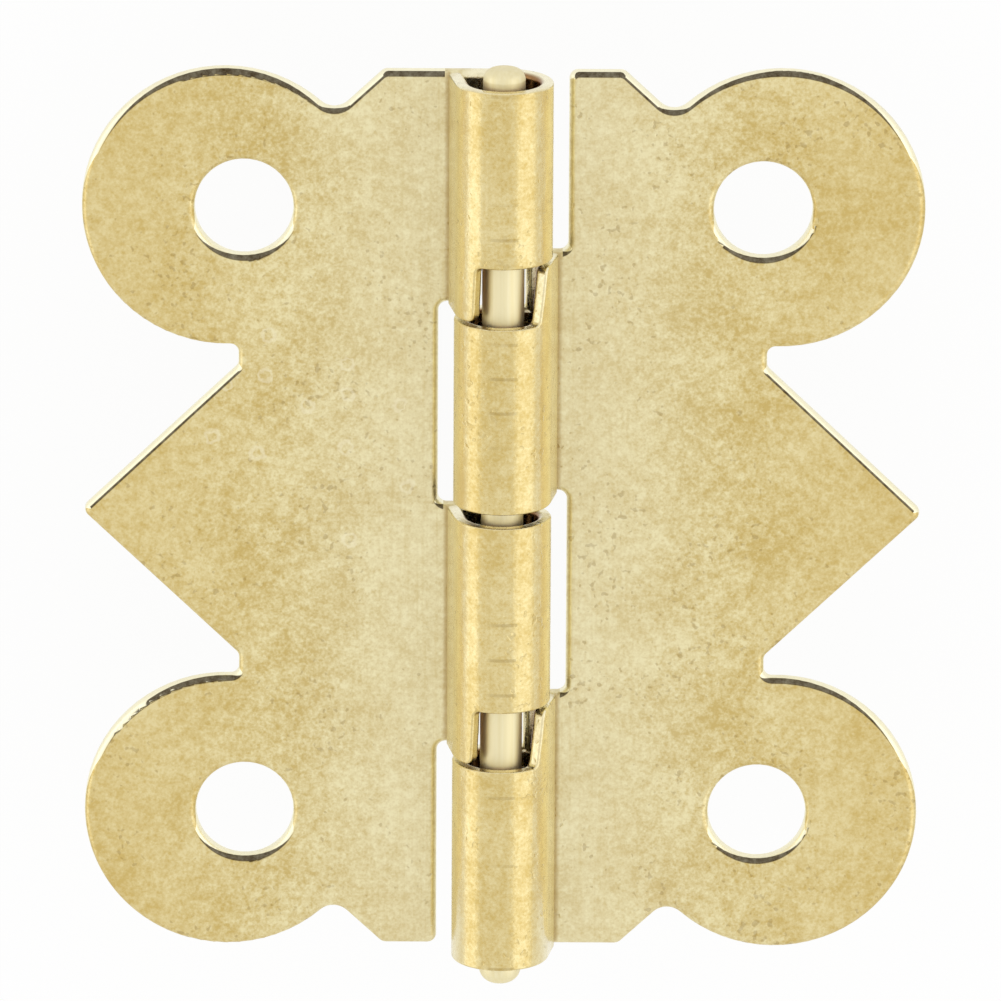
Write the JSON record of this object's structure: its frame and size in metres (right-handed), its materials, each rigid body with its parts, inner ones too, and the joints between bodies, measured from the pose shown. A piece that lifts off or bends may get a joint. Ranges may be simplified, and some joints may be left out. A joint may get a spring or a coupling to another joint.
{
  "type": "box hinge",
  "caption": "Small stamped brass box hinge with butterfly leaves, rolled knuckles with stop ears, a loose wire pin and plain screw holes.",
  "frame": {"origin": "on the mounting plane, under the barrel axis, midway along the leaves", "axes": "+Y along the barrel toward the end knuckle of the left leaf, +X out along the right leaf, +Z off the mounting plane toward the barrel"},
  "size_m": [0.0298, 0.034, 0.0035],
  "materials": {
    "leaf_plating": "thin pale gold plating on stamped sheet, tumbled, mottled with light tarnish",
    "pin_plating": "pale plated wire, smooth"
  },
  "bodies": {
    "left_leaf": {"left_leaf": "leaf_plating", "hinge_pin": "pin_plating"},
    "right_leaf": {"right_leaf": "leaf_plating"}
  },
  "joints": [
    {"name": "leaf_fold", "type": "hinge", "parent": "left_leaf", "child": "right_leaf", "pos_m": [0, 0, 0.00175], "axis": [0, -1, 0], "range_deg": [-45, 85]}
  ]
}
